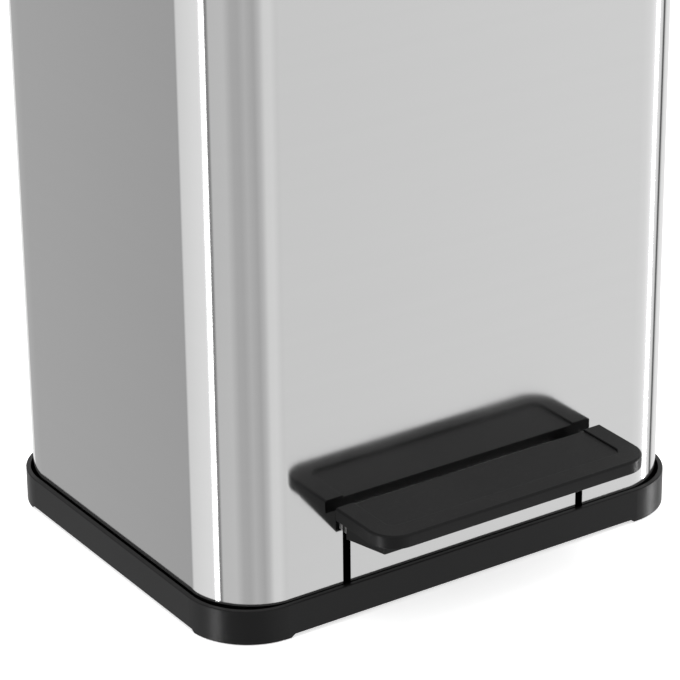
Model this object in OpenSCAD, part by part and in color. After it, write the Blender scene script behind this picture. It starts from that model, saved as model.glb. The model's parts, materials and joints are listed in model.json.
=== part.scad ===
// Rectangular pedal bin: steel sleeve on a moulded base, front pedal, rear-hinged lid, lift-out bucket.
// Millimetres. +Z is up, the pedal faces -Y, and z = 0 is the floor under the anti-slip pads.

/* [Body] */
// Width of the steel body, side to side
body_w = 390.5; // [340:0.1:470]
// Depth of the steel body, front to back
body_d = 306.6; // [255:0.1:370]
// Radius of the body's upright corners
body_r = 48.3; // [40:0.1:56]
// Height from the floor to the top of the hinge barrel
total_h = 650; // [540:0.1:780]
// Thickness of the body and lid sheet
sheet_t = 0.5; // [0.4:0.1:1.2]
// Width of each pedal slot in the front wall
slot_w = 6.5; // [5.5:0.1:8]
// Clear height of each slot above the arm
slot_over = 3; // [2:0.5:8]

/* [Base] */
// How far the base stands out past the body at each side
lip_side = 4.7; // [3.8:0.1:7]
// How far the base stands out past the body at the front and back
lip_front = 4.1; // [3.8:0.1:7]
// Radius of the base's outer upright corners
base_r = 49.3; // [44:0.1:60]
// Height of the base ring above the lowest moulded edge
base_h = 25.5; // [22:0.1:30]
// Thickness of the base's outer wall
lip_w = 3.4; // [2.4:0.1:3.6]
// Rounding of the base ring's top edge
lip_round = 0.8; // [0.4:0.1:1.2]
// Height of the arch between the corner feet
foot_rise = 2.15; // [1.6:0.05:2.6]
// Length of each corner foot along the front, from the base's side
foot_along = 51.5; // [49:0.5:80]
// Length of each corner foot along the side, from the base's front
foot_back = 43.5; // [40:0.5:80]
// Thickness of the base floor
floor_t = 3; // [2.5:0.1:4]
// How far the rubber pads stand out below the base
pad_proud = 1; // [0.5:0.1:2]
// Radius of each rubber pad
pad_r = 12; // [9:0.5:14]

/* [Pedal] */
// Width of the tread
tread_w = 226; // [186:0.1:280]
// Depth of the tread, front to back
tread_d = 59.7; // [52:0.1:75]
// Thickness of the tread plate
tread_t = 9.7; // [7:0.1:12]
// Height of the tread's top above the floor at rest
tread_top = 90.7; // [86:0.1:100]
// Gap between the front wall and the tread
tread_gap = 6.5; // [5.5:0.1:10]
// Radius of the tread's front corners
tread_r = 20; // [12:0.5:28]
// Rounding of the tread's top edge
tread_round = 2; // [1:0.1:3]
// Width of the plain rim at each side of the shallow recess
recess_side = 15; // [10:0.5:25]
// Depth of the recess
recess_t = 1.3; // [0.8:0.1:2]
// Width of the plain rim in front of the recess
recess_rim = 16.5; // [12:0.5:22]
// Distance from the tread's front edge back to its skirt
skirt_back = 14.5; // [10:0.5:20]
// Plastic left outside and under each arm
rail_wall = 3; // [2.5:0.1:5]

/* [Lever] */
// Distance from each side of the tread in to the centre of its arm
arm_inset = 13; // [10:0.1:20]
// Thickness of each arm
arm_t = 3; // [2:0.1:4]
// Height of each arm in front of the pivot
arm_h = 6.4; // [5:0.1:8]
// Height of the arms' centre line where they pass the front wall
arm_z = 68.65; // [66:0.05:74]
// Height of the pivot above the floor
pivot_z = 41; // [36:0.5:46]
// Radius of the pivot shaft
shaft_r = 4; // [3:0.1:5]
// Running clearance of shafts and pins in their bushes, on the radius
fit_gap = 0.06; // [0.02:0.01:0.1]
// Radius of the pin at the back of the lever
lever_pin_r = 2.5; // [2:0.1:3]
// Width of each bearing post
post_w = 12; // [9:0.5:16]

/* [Push rod] */
// Radius of the push rod
rod_r = 3; // [2.5:0.1:3.5]
// Gap between the rod's tip and the lid's crank
tip_gap = 0.9; // [0.7:0.1:1.5]
// Height of the lower rod guide
low_guide_z = 150; // [120:1:220]

/* [Lid and hinge] */
// Angle that the lid opens through
lid_open = 78; // [65:1:84]
// Distance from the hinge axis to the lid's crank boss
crank_r = 21; // [20:0.1:26]
// Radius of the hinge barrel
barrel_r = 15; // [14:0.5:17]
// Radius of the hinge pins
hinge_pin_r = 3; // [2.5:0.1:4]
// Distance of each hinge knuckle's centre from the middle
knuckle_x = 100; // [85:1:110]
// Width of each knuckle
knuckle_w = 23; // [16:1:30]
// Rounding of the lid's top edge
lid_round = 6; // [3:0.5:9]
// Gap between the lid's lower edge and the collar
lid_gap = 1.5; // [1:0.1:3]
// Height of the black band above the steel
band_h = 16; // [12:0.5:24]

/* [Bucket] */
// Wall thickness of the bucket
bucket_t = 2; // [1.5:0.1:3]
// Height of the bucket's floor above the ground
bucket_floor = 96; // [92:1:140]
// Size of the bucket's bottom as a share of its top
bucket_taper = 0.92; // [0.86:0.01:0.96]
// Width of the collar ledge that the bucket's rim rests on
ledge_w = 6; // [4:0.5:8]
// Radius of the bail wire
wire_r = 2; // [1.5:0.1:2.5]
// Radius of the bail's hand grip
grip_r = 5; // [4:0.1:6]
// Length of the bail's hand grip
grip_len = 90; // [70:1:120]

/* [Damper] */
// Radius of the damper's body
damper_r = 9; // [8:0.5:11]
// Length of the damper's body
damper_len = 90; // [80:1:120]
// Sideways distance of the damper from the push rod
damper_x = 36; // [34:1:60]

/* [Hidden] */
$fn = 96;
steel = [0.78, 0.78, 0.77];
zinc = [0.66, 0.67, 0.69];
black = [0.06, 0.06, 0.065];
rubber = [0.04, 0.04, 0.04];
nylon = [0.85, 0.84, 0.8];
grey = [0.3, 0.31, 0.32];

// The body stands on x = 0, y = 0 while it is drawn; the finished part is moved so that its box is centred.
front_y = -body_d / 2;
back_y = body_d / 2;
tread_back = front_y - tread_gap;
tread_front = tread_back - tread_d;
centre_y = -(tread_front + back_y) / 2;

// Base
base_w = body_w + 2 * lip_side;
base_d = body_d + 2 * lip_front;
base_z = pad_proud;
base_top = base_z + base_h;
floor_z = base_z + foot_rise + 0.85;
floor_top = floor_z + floor_t;
seat_gap = 0.3;
seat_wall = 2.5;
seat_top = floor_top + 13;
foot_run = 3;
foot_r = pad_r + 3;
foot_x = base_w / 2 - 35;
foot_y = base_d / 2 - 35;
pad_sunk = 1.5;

// Fixings
screw_r = 2;
screw_head_r = 3.5;
screw_head_h = 2.4;
rivet_r = 2;
rivet_head_r = 3.5;
rivet_head_h = 1.2;
past = 1; // how far a cutting shape runs past the face that it cuts

// Height chain at the top
hinge_z = total_h - barrel_r;
hinge_y = back_y - barrel_r - 1.3;
collar_top = total_h - 2 * barrel_r;
shell_top = collar_top - band_h;
collar_skirt = 16;
skirt_gap = 0.2;
deck_t = 8;
housing_inset = 5;
housing_screw_x = [60, 130];
lid_bottom = collar_top + lid_gap;
lid_top = total_h - 0.5;
lid_clear_r = barrel_r + 1;
pin_half = knuckle_w / 2 + 12;
knuckle_in = knuckle_x - knuckle_w / 2;
knuckle_out = knuckle_x + knuckle_w / 2;
knuckle_bush_r = hinge_pin_r + 2.5;
lid_back = hinge_y - lid_clear_r;
liner_rim = lid_bottom + 0.5;
liner_floor = liner_rim + 1.5;
liner_t = 2.5;
liner_boss_r = 5;
liner_screw_r = 1.8;
liner_screw_len = 16;
liner_head_h = 1.4;
bumper_r = 4;
bumper_gap = 0.3;
bumper_in = 7;
bumper_side = 95;
bumper_front = 75;

// Crank, rod and lever: the lid's crank lifts through the same height as the lever's rear pin
crank_drop = lid_open / 2;
boss_r = 4;
crank_root = lid_back - 11;
boss_y = hinge_y - crank_r * cos(crank_drop);
boss_z = hinge_z - crank_r * sin(crank_drop);
rod_travel = 2 * crank_r * sin(crank_drop);
rod_y = hinge_y - crank_r + 0.35;
rear_r = rod_y + 0.35;
rear_drop = asin(rod_travel / 2 / rear_r);
pin_z = pivot_z - rear_r * sin(rear_drop);
arm_rise = atan((arm_z - pivot_z) / (-front_y));
arm_x = tread_w / 2 - arm_inset;
arm_in = arm_x - arm_t / 2;
arm_out = arm_x + arm_t / 2;
recess_half = tread_w / 2 - recess_side;
rear_h = 10;
boss_pivot_r = 9;
tread_bottom = tread_top - tread_t;
skirt_y = tread_front + skirt_back;
skirt_t = 2.5;
arm_end_gap = 1;
front_len = (-skirt_y - skirt_t - arm_end_gap) / cos(arm_rise);
rail_in = arm_in - rail_wall;
rail_out = arm_out + rail_wall;
skirt_drop = arm_h / 2 / cos(arm_rise) + rail_wall - 0.6;
tread_screw_at = [front_len - 34, front_len - 14];
tread_screw_end = arm_out + 1.5;
rivet_up = 1;
rivet_at = [rear_r - 50, rear_r - 30];
bridge_from = rear_r - 58;
bridge_to = rear_r - 22;
bridge_t = 2;
fork_in = 4.5;
fork_out = 7.5;
pin_head_t = 1.5;
slot_low = base_top - 4;
slot_high = arm_z + arm_h / 2 / cos(arm_rise) + slot_over;

// Bearing posts
bush_r = shaft_r + 3;
post_in = arm_out + 4.5;
post_out = post_in + post_w;
post_half = bush_r + 7;
cap_h = bush_r + 5;
cap_screw_y = bush_r + 3.5;
cap_screw_x = (post_in + post_out) / 2;
cap_screw_depth = 12;
bush_flange_r = bush_r + 2;
bush_flange_t = 1.5;
clip_r = shaft_r + 3;
shaft_half = post_out + 3;

// Push rod pieces
foot_half = 8;
tip_r = 5;
tip_z = boss_z - boss_r - tip_gap;
tip_h = 10;
rod_low = pin_z + 6;
rod_high = tip_z - 5;
wall_y = back_y - sheet_t;
guide_h = 14;
high_guide_z = shell_top - collar_skirt - guide_h - 8;
guide_wing = 22;
guide_screw_x = 16;
link_t = 4;
well_half = 9;
crank_half = 5;
link_z = high_guide_z - rod_travel - 10;
damper_y = wall_y - damper_r - 4;
damper_z = link_z - 30 - damper_len;
damper_wall = 1.5;
damper_end = 4;
piston_rod_r = 3;
piston_h = 8;
piston_z = damper_z + 8;
wing_t = 3;
guide_boss_r = 7;
clip_h = 8;
clip_wall = 2;
clip_screw_x = damper_x + damper_r + 7;
link_boss_r = 7;

// Bucket: its outline follows the collar's opening
mouth_w = body_w - 42;
mouth_front = front_y + 19.3;
mouth_back = rod_y - 16;
mouth_d = mouth_back - mouth_front;
mouth_y = (mouth_front + mouth_back) / 2;
mouth_r = 30;
ledge_z = collar_top - 15;
rim_out = ledge_w - 1.5;
rim_t = 3;
bucket_gap = 2.5;
bucket_w = mouth_w - 2 * bucket_gap;
bucket_d = mouth_d - 2 * bucket_gap;
bucket_r = mouth_r - bucket_gap;
bucket_band = 30;
bail_z = ledge_z - 7;
bail_reach = bucket_d / 2 - bucket_t - grip_r - 7;
bail_half = bucket_w / 2 - bucket_t - 9.75;
bail_bend = 20;
lug_t = 6;
lug_half = 8;

// ---------- shared shapes ----------

module placed() {
    translate([0, centre_y, 0]) children();
}

module rounded(w, d, r) {
    square([w - 2 * r, d], center = true);
    square([w, d - 2 * r], center = true);
    for (x = [-1, 1], y = [-1, 1]) translate([x * (w / 2 - r), y * (d / 2 - r)]) circle(r);
}

module slab(w, d, r, z0, z1) {
    translate([0, 0, z0]) linear_extrude(z1 - z0) rounded(w, d, r);
}

// Section of a rounded top edge: run wide, h high, its outer top corner rounded by f
module edge_section(run, h, f) {
    square([run, h - f]);
    square([run - f, h]);
    translate([run - f, h - f]) circle(f);
}

// A slab whose top edge is rounded by f, made of a middle, four straight edges and four turned corners
module soft_slab(w, d, r, z0, z1, f) {
    h = z1 - z0;
    box(-w / 2 + r, w / 2 - r, -d / 2 + r, d / 2 - r, z0, z1);
    for (s = [0, 180]) rotate([0, 0, s]) {
        translate([0, d / 2 - r, z0]) rotate([90, 0, 90])
            linear_extrude(w - 2 * r, center = true) edge_section(r, h, f);
        translate([w / 2 - r, 0, z0]) rotate([90, 0, 0])
            linear_extrude(d - 2 * r, center = true) edge_section(r, h, f);
        translate([w / 2 - r, d / 2 - r, z0]) rotate_extrude(angle = 90) edge_section(r, h, f);
        translate([-w / 2 + r, d / 2 - r, z0]) rotate([0, 0, 90])
            rotate_extrude(angle = 90) edge_section(r, h, f);
    }
}

module rod_x(r, x0, x1, y, z) {
    translate([x0, y, z]) rotate([0, 90, 0]) cylinder(h = x1 - x0, r = r);
}

module rod_y(r, y0, y1, x, z) {
    translate([x, y0, z]) rotate([-90, 0, 0]) cylinder(h = y1 - y0, r = r);
}

module rod_z(r, z0, z1, x, y) {
    translate([x, y, z0]) cylinder(h = z1 - z0, r = r);
}

module box(x0, x1, y0, y1, z0, z1) {
    translate([x0, y0, z0]) cube([x1 - x0, y1 - y0, z1 - z0]);
}

// Extrudes a [y, z] outline from x0 to x1
module across(x0, x1) {
    translate([x0, 0, 0]) rotate([90, 0, 90]) linear_extrude(x1 - x0) children();
}

module both_sides() {
    children();
    mirror([1, 0, 0]) children();
}

// ---------- base ----------

module foot_arch(run, across_len) {
    // trapezoid that lifts the base's lower edge between the corner feet
    translate([0, 0, base_z]) rotate([90, 0, 0]) linear_extrude(across_len, center = true)
        polygon([[-run, -past], [run, -past], [run, 0], [run - foot_run, foot_rise],
                 [-run + foot_run, foot_rise], [-run, 0]]);
}

module bearing_post() {
    difference() {
        box(post_in, post_out, -post_half, post_half, floor_top - 0.5, pivot_z);
        rod_x(bush_r, post_in - past, post_out + past, 0, pivot_z);
        for (s = [-1, 1])
            rod_z(screw_r, pivot_z - cap_screw_depth, pivot_z + past, cap_screw_x, s * cap_screw_y);
    }
}

module base_tray() {
    inner_w = base_w - 2 * lip_w;
    inner_d = base_d - 2 * lip_w;
    inner_r = base_r - lip_w;
    seat_w = body_w - 2 * (sheet_t + seat_gap);
    seat_d = body_d - 2 * (sheet_t + seat_gap);
    seat_r = body_r - sheet_t - seat_gap;
    placed() color(black) {
        difference() {
            soft_slab(base_w, base_d, base_r, base_z, base_top, lip_round);
            slab(inner_w, inner_d, inner_r, floor_top, base_top + past);
            slab(inner_w, inner_d, inner_r, base_z - past, floor_z);
            foot_arch(base_w / 2 - foot_along, base_d + 2);
            rotate([0, 0, 90]) foot_arch(base_d / 2 - foot_back, base_w + 2);
        }
        difference() {
            slab(seat_w, seat_d, seat_r, floor_top, seat_top);
            slab(seat_w - 2 * seat_wall, seat_d - 2 * seat_wall, seat_r - seat_wall,
                 floor_top - past, seat_top + past);
        }
        for (x = [-1, 1], y = [-1, 1]) difference() {
            rod_z(foot_r, base_z, floor_z, x * foot_x, y * foot_y);
            rod_z(pad_r, base_z - past, base_z + pad_sunk, x * foot_x, y * foot_y);
        }
        both_sides() bearing_post();
    }
}

module anti_slip_pads() {
    placed() color(rubber) for (x = [-1, 1], y = [-1, 1])
        rod_z(pad_r, 0, base_z + pad_sunk, x * foot_x, y * foot_y);
}

module bearing_caps() {
    placed() color(black) both_sides() difference() {
        box(post_in, post_out, -post_half, post_half, pivot_z, pivot_z + cap_h);
        rod_x(bush_r, post_in - past, post_out + past, 0, pivot_z);
        for (s = [-1, 1])
            rod_z(screw_r, pivot_z - past, pivot_z + cap_h + past, cap_screw_x, s * cap_screw_y);
    }
}

module bearing_screws() {
    placed() color(zinc) both_sides() for (s = [-1, 1]) {
        rod_z(screw_r, pivot_z - cap_screw_depth, pivot_z + cap_h + past, cap_screw_x, s * cap_screw_y);
        rod_z(screw_head_r, pivot_z + cap_h, pivot_z + cap_h + screw_head_h, cap_screw_x, s * cap_screw_y);
    }
}

module pivot_bushes() {
    placed() color(nylon) both_sides() difference() {
        union() {
            rod_x(bush_r, post_in, post_out, 0, pivot_z);
            rod_x(bush_flange_r, post_in - bush_flange_t, post_in, 0, pivot_z);
        }
        rod_x(shaft_r + fit_gap, post_in - 3, post_out + past, 0, pivot_z);
    }
}

// ---------- steel body and collar ----------

module body_shell() {
    placed() color(steel) difference() {
        slab(body_w, body_d, body_r, floor_top, shell_top);
        slab(body_w - 2 * sheet_t, body_d - 2 * sheet_t, body_r - sheet_t, floor_top - past,
             shell_top + past);
        both_sides()
            box(arm_x - slot_w / 2, arm_x + slot_w / 2, front_y - past, front_y + sheet_t + past,
                slot_low, slot_high);
        wall_rivet_shanks(rivet_r);
    }
}

module rod_well(z0, z1) {
    // space for the rod's tip and the lid's crank
    box(-well_half, well_half, rod_y - 6.85, boss_y + boss_r + 2.8, z0, z1);
}

module top_collar() {
    skirt_w = body_w - 2 * (sheet_t + skirt_gap);
    skirt_d = body_d - 2 * (sheet_t + skirt_gap);
    skirt_r = body_r - sheet_t - skirt_gap;
    cavity_half = body_w / 2 - body_r - 4;
    placed() color(black) difference() {
        union() {
            slab(body_w, body_d, body_r, shell_top, collar_top);
            slab(skirt_w, skirt_d, skirt_r, shell_top - collar_skirt, shell_top);
        }
        translate([0, mouth_y, 0]) {
            slab(mouth_w, mouth_d, mouth_r, shell_top - collar_skirt - past, collar_top + past);
            slab(mouth_w + 2 * ledge_w, mouth_d + 2 * ledge_w, mouth_r + ledge_w, ledge_z, collar_top + past);
        }
        box(-cavity_half, cavity_half, rod_y - 8, wall_y - skirt_gap - 3, shell_top - collar_skirt - past,
            collar_top - deck_t);
        rod_well(collar_top - deck_t - past, collar_top + past);
        housing_screw_shanks(screw_r);
    }
}

module housing_screw_shanks(r) {
    both_sides() for (x = housing_screw_x) rod_z(r, collar_top - deck_t - 0.5, collar_top + 8, x, hinge_y);
}

module hinge_housing() {
    side_in = knuckle_in - 0.5;
    side_out = knuckle_out + 0.5;
    end = body_w / 2 - housing_inset;
    placed() color(black) difference() {
        intersection() {
            slab(body_w, body_d, body_r, collar_top, total_h + past);
            for (s = [[-end, -side_out], [-side_in, side_in], [side_out, end]]) across(s[0], s[1]) {
                translate([hinge_y, hinge_z]) circle(barrel_r);
                translate([hinge_y - barrel_r, collar_top]) square([2 * barrel_r, barrel_r]);
            }
        }
        rod_well(collar_top - past, total_h + past);
        both_sides() rod_x(hinge_pin_r, knuckle_x - pin_half, knuckle_x + pin_half, hinge_y, hinge_z);
        housing_screw_shanks(screw_r);
    }
}

module housing_screws() {
    placed() color(zinc) {
        housing_screw_shanks(screw_r);
        both_sides() for (x = housing_screw_x)
            rod_z(screw_head_r, collar_top - deck_t - screw_head_h, collar_top - deck_t, x, hinge_y);
    }
}

module hinge_pins() {
    placed() color(zinc) both_sides()
        rod_x(hinge_pin_r, knuckle_x - pin_half, knuckle_x + pin_half, hinge_y, hinge_z);
}

// ---------- rear wall: guides and damper ----------

module wall_rivet_shanks(r) {
    for (z = [low_guide_z, high_guide_z], x = [-guide_screw_x, guide_screw_x])
        rod_y(r, wall_y - wing_t, back_y, x, z + guide_h / 2);
    for (z = clip_heights()) rod_y(r, wall_y - wing_t, back_y, clip_screw_x, z + clip_h / 2);
}

function clip_heights() = [damper_z + 12, damper_z + damper_len - 24];

module wall_rivets() {
    placed() color(zinc) {
        wall_rivet_shanks(rivet_r);
        for (z = [low_guide_z, high_guide_z], x = [-guide_screw_x, guide_screw_x])
            rod_y(rivet_head_r, wall_y - wing_t - rivet_head_h, wall_y - wing_t, x, z + guide_h / 2);
        for (z = clip_heights())
            rod_y(rivet_head_r, wall_y - wing_t - rivet_head_h, wall_y - wing_t, clip_screw_x,
                  z + clip_h / 2);
    }
}

module rod_guides() {
    placed() color(black) for (z = [low_guide_z, high_guide_z]) difference() {
        union() {
            box(-guide_wing, guide_wing, wall_y - wing_t, wall_y, z, z + guide_h);
            box(-guide_boss_r, guide_boss_r, rod_y, wall_y - wing_t, z, z + guide_h);
            rod_z(guide_boss_r, z, z + guide_h, 0, rod_y);
        }
        rod_z(rod_r + fit_gap, z - past, z + guide_h + past, 0, rod_y);
        wall_rivet_shanks(rivet_r);
    }
}

module damper_cylinder() {
    top = damper_z + damper_len;
    placed() color(grey) difference() {
        rod_z(damper_r, damper_z, top, damper_x, damper_y);
        rod_z(damper_r - damper_wall, damper_z + damper_end, top - damper_end, damper_x, damper_y);
        rod_z(piston_rod_r + fit_gap, top - damper_end - past, top + past, damper_x, damper_y);
    }
}

module damper_clips() {
    placed() color(black) for (z = clip_heights()) difference() {
        union() {
            rod_z(damper_r + clip_wall, z, z + clip_h, damper_x, damper_y);
            box(damper_x - 6, damper_x + 6, damper_y, wall_y, z, z + clip_h);
            box(damper_x - 6, clip_screw_x + 5, wall_y - wing_t, wall_y, z, z + clip_h);
        }
        rod_z(damper_r, z - past, z + clip_h + past, damper_x, damper_y);
        wall_rivet_shanks(rivet_r);
    }
}

// ---------- lid ----------

module behind_lid() {
    // everything that the lid's rear face keeps clear of
    rod_x(lid_clear_r, -body_w, body_w, hinge_y, hinge_z);
    box(-body_w, body_w, lid_back, back_y + past, lid_bottom - past, hinge_z);
    box(-body_w, body_w, hinge_y, back_y + past, hinge_z - past, lid_top + past);
}

module lid_skin() {
    placed() color(steel) difference() {
        soft_slab(body_w, body_d, body_r, lid_bottom, lid_top, lid_round);
        soft_slab(body_w - 2 * sheet_t, body_d - 2 * sheet_t, body_r - sheet_t,
                  lid_bottom - past, lid_top - sheet_t, lid_round - sheet_t);
        behind_lid();
    }
}

module liner_bosses(r, z0, z1) {
    both_sides() for (y = [front_y + 45, mouth_back - 20]) rod_z(r, z0, z1, body_w / 2 - 45, y);
}

module lid_liner() {
    in_w = body_w - 2 * sheet_t;
    in_d = body_d - 2 * sheet_t;
    in_r = body_r - sheet_t;
    in_top = lid_top - sheet_t;
    placed() color(black) difference() {
        union() {
            difference() {
                soft_slab(in_w, in_d, in_r, liner_rim, in_top, lid_round - sheet_t);
                difference() {
                    slab(in_w - 2 * liner_t, in_d - 2 * liner_t, in_r - liner_t,
                         liner_floor + liner_t, in_top + past);
                    box(-body_w, body_w, lid_back - 3, back_y + past, liner_rim, in_top + past);
                    liner_bosses(liner_boss_r, liner_floor, in_top);
                }
                translate([0, mouth_y, 0])
                    slab(mouth_w + 16, mouth_d + 16, mouth_r + 8, liner_rim - past, liner_floor);
                behind_lid();
            }
            both_sides() {
                rod_x(barrel_r - 0.5, knuckle_in, knuckle_out, hinge_y, hinge_z);
                box(knuckle_in, knuckle_out, lid_back - 2, hinge_y, hinge_z - 8, hinge_z + 5);
            }
            across(-crank_half, crank_half) {
                translate([boss_y, boss_z]) circle(boss_r);
                polygon([[crank_root, liner_floor + 2], [boss_y - boss_r, boss_z], [boss_y + boss_r, boss_z],
                         [lid_back, hinge_z - 8], [lid_back, hinge_z - 1], [crank_root, hinge_z - 1]]);
            }
        }
        both_sides() rod_x(knuckle_bush_r, knuckle_in - past, knuckle_out + past, hinge_y, hinge_z);
        liner_bosses(liner_screw_r, liner_floor - past, liner_floor + liner_screw_len);
    }
}

module lid_bumpers() {
    placed() color(rubber) {
        both_sides() {
            rod_z(bumper_r, collar_top + bumper_gap, liner_rim, body_w / 2 - bumper_in,
                  front_y + bumper_side);
            rod_z(bumper_r, collar_top + bumper_gap, liner_rim, bumper_front, front_y + bumper_in);
        }
    }
}

module lid_screws() {
    placed() color(zinc) {
        liner_bosses(liner_screw_r, liner_floor, liner_floor + liner_screw_len);
        liner_bosses(screw_head_r, liner_floor - liner_head_h, liner_floor);
    }
}

module knuckle_bushes() {
    placed() color(nylon) both_sides() difference() {
        rod_x(knuckle_bush_r, knuckle_in, knuckle_out, hinge_y, hinge_z);
        rod_x(hinge_pin_r + fit_gap, knuckle_in - past, knuckle_out + past, hinge_y, hinge_z);
    }
}

// ---------- lever ----------

// The two halves of the lever lie at different angles; each frame has its origin on the pivot
module front_frame() {
    translate([0, 0, pivot_z]) rotate([-arm_rise, 0, 0]) children();
}

module rear_frame() {
    translate([0, 0, pivot_z]) rotate([-rear_drop, 0, 0]) children();
}

module tread_screw_holes(x0, x1, r) {
    front_frame() for (l = tread_screw_at) rod_x(r, x0, x1, -l, 0);
}

module pedal_arm() {
    difference() {
        translate([0, 0, pivot_z]) across(arm_in, arm_out) {
            rotate(-arm_rise) translate([-front_len, -arm_h / 2]) square([front_len, arm_h]);
            rotate(-rear_drop) translate([0, -rear_h / 2]) square([bridge_to, rear_h]);
            circle(boss_pivot_r);
        }
        rod_x(shaft_r, arm_in - past, arm_out + past, 0, pivot_z);
        rear_frame() for (l = rivet_at) rod_x(rivet_r, arm_in - past, arm_out + past, l, rivet_up);
        tread_screw_holes(arm_in - past, arm_out + past, screw_r);
    }
}

module pedal_arm_left() {
    placed() color(zinc) mirror([1, 0, 0]) pedal_arm();
}

module pedal_arm_right() {
    placed() color(zinc) pedal_arm();
}

module lever_bridge() {
    placed() color(zinc) rear_frame() difference() {
        union() {
            box(-arm_in, arm_in, bridge_from, bridge_to, -rear_h / 2, -rear_h / 2 + bridge_t);
            both_sides() {
                box(arm_in - bridge_t, arm_in, bridge_from, bridge_to, -rear_h / 2, rear_h / 2);
                box(fork_in, fork_out, bridge_from + 20, rear_r + 7, -rear_h / 2, rear_h / 2 + 1);
            }
        }
        rod_x(lever_pin_r, -fork_out - past, fork_out + past, rear_r, 0);
        both_sides() for (l = rivet_at) rod_x(rivet_r, arm_in - bridge_t - past, arm_in + past, l, rivet_up);
    }
}

module lever_rivets() {
    placed() color(steel) rear_frame() both_sides() for (l = rivet_at) {
        rod_x(rivet_r, arm_in - bridge_t, arm_out, l, rivet_up);
        rod_x(rivet_head_r, arm_in - bridge_t - rivet_head_h, arm_in - bridge_t, l, rivet_up);
        rod_x(rivet_head_r, arm_out, arm_out + rivet_head_h, l, rivet_up);
    }
}

module lever_pin() {
    placed() color(zinc) rear_frame() {
        rod_x(lever_pin_r, -fork_out - pin_head_t, fork_out + pin_head_t, rear_r, 0);
        both_sides() rod_x(lever_pin_r + 1.5, fork_out, fork_out + pin_head_t, rear_r, 0);
    }
}

module pivot_shaft() {
    placed() color(zinc) rod_x(shaft_r, -shaft_half, shaft_half, 0, pivot_z);
}

module shaft_clips() {
    placed() color(steel) both_sides() difference() {
        rod_x(clip_r, post_out + 0.5, post_out + 1.5, 0, pivot_z);
        rod_x(shaft_r, post_out, post_out + 2, 0, pivot_z);
    }
}

module tread_screws() {
    placed() color(zinc) both_sides() {
        tread_screw_holes(rail_in - screw_head_h, tread_screw_end, screw_r);
        tread_screw_holes(rail_in - screw_head_h, rail_in, screw_head_r);
    }
}

module tread_skirt(x0, x1, y0) {
    // the lower edge runs parallel to the arms
    function low(y) = pivot_z - y * tan(arm_rise) - skirt_drop;
    across(x0, x1) polygon([[tread_back, tread_bottom + 0.5], [y0, tread_bottom + 0.5], [y0, low(y0)],
                            [tread_back, low(tread_back)]]);
}

module pedal_tread() {
    recess_len = tread_d - recess_rim;
    placed() color(black) difference() {
        union() {
            intersection() {
                translate([0, tread_back, 0])
                    soft_slab(tread_w, 2 * tread_d, tread_r, tread_bottom, tread_top, tread_round);
                box(-tread_w, tread_w, tread_front - past, tread_back, tread_bottom - past, tread_top + past);
            }
            difference() {
                tread_skirt(-rail_out, rail_out, skirt_y);
                box(-rail_in, rail_in, skirt_y + skirt_t, tread_back + past, pivot_z, tread_bottom);
            }
        }
        translate([0, tread_back, 0])
            slab(2 * recess_half, 2 * recess_len, 7, tread_top - recess_t, tread_top + past);
        both_sides() {
            front_frame() box(arm_in, arm_out, -front_len, -front_len / 2, -arm_h / 2, arm_h / 2);
            tread_screw_holes(rail_in - past, tread_screw_end, screw_r);
        }
    }
}

// ---------- push rod ----------

module push_rod() {
    placed() color(zinc) rod_z(rod_r, rod_low, rod_high, 0, rod_y);
}

module rod_foot() {
    play = 1;
    slot_gap = 0.15;
    placed() color(nylon) difference() {
        box(-fork_in + 0.4, fork_in - 0.4, rod_y - foot_half, rod_y + foot_half, pin_z - 7, pin_z + 16);
        across(-fork_in - past, fork_in + past) for (s = [-1, 1]) {
            translate([rod_y + s * play, pin_z]) circle(lever_pin_r + slot_gap);
            translate([rod_y - play, pin_z - lever_pin_r - slot_gap])
                square([2 * play, 2 * (lever_pin_r + slot_gap)]);
        }
        rod_z(rod_r, rod_low, pin_z + 17, 0, rod_y);
    }
}

module rod_tip() {
    placed() color(nylon) difference() {
        rod_z(tip_r, tip_z - tip_h, tip_z, 0, rod_y);
        rod_z(rod_r, tip_z - tip_h - past, rod_high, 0, rod_y);
    }
}

module damper_rod() {
    // the link plate grips the push rod and carries the damper's piston rod
    placed() color(zinc) {
        difference() {
            translate([0, 0, link_z]) linear_extrude(link_t) {
                translate([0, rod_y]) circle(link_boss_r);
                translate([damper_x, damper_y]) circle(link_boss_r);
                polygon([[0, rod_y - link_boss_r], [damper_x, damper_y - link_boss_r],
                         [damper_x, damper_y + link_boss_r], [0, rod_y + link_boss_r]]);
            }
            rod_z(rod_r, link_z - past, link_z + link_t + past, 0, rod_y);
        }
        rod_z(piston_rod_r, piston_z + piston_h, link_z + 0.5, damper_x, damper_y);
        rod_z(damper_r - damper_wall - fit_gap, piston_z, piston_z + piston_h, damper_x, damper_y);
    }
}

// ---------- bucket ----------

module bucket_body(shrink, z0) {
    // straight band at the top, tapered below
    band_z = ledge_z - bucket_band;
    w = bucket_w - 2 * shrink;
    d = bucket_d - 2 * shrink;
    r = bucket_r - shrink;
    t = bucket_taper;
    slab(w, d, r, band_z, ledge_z + rim_t + shrink);
    translate([0, 0, z0]) linear_extrude(band_z - z0, scale = 1 / t) rounded(w * t, d * t, r * t, $fn = 48);
}

module bucket() {
    placed() color(grey) translate([0, mouth_y, 0]) difference() {
        union() {
            bucket_body(0, bucket_floor);
            slab(mouth_w + 2 * rim_out, mouth_d + 2 * rim_out, mouth_r + rim_out, ledge_z, ledge_z + rim_t);
        }
        bucket_body(bucket_t, bucket_floor + bucket_t + 0.5);
    }
}

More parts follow.
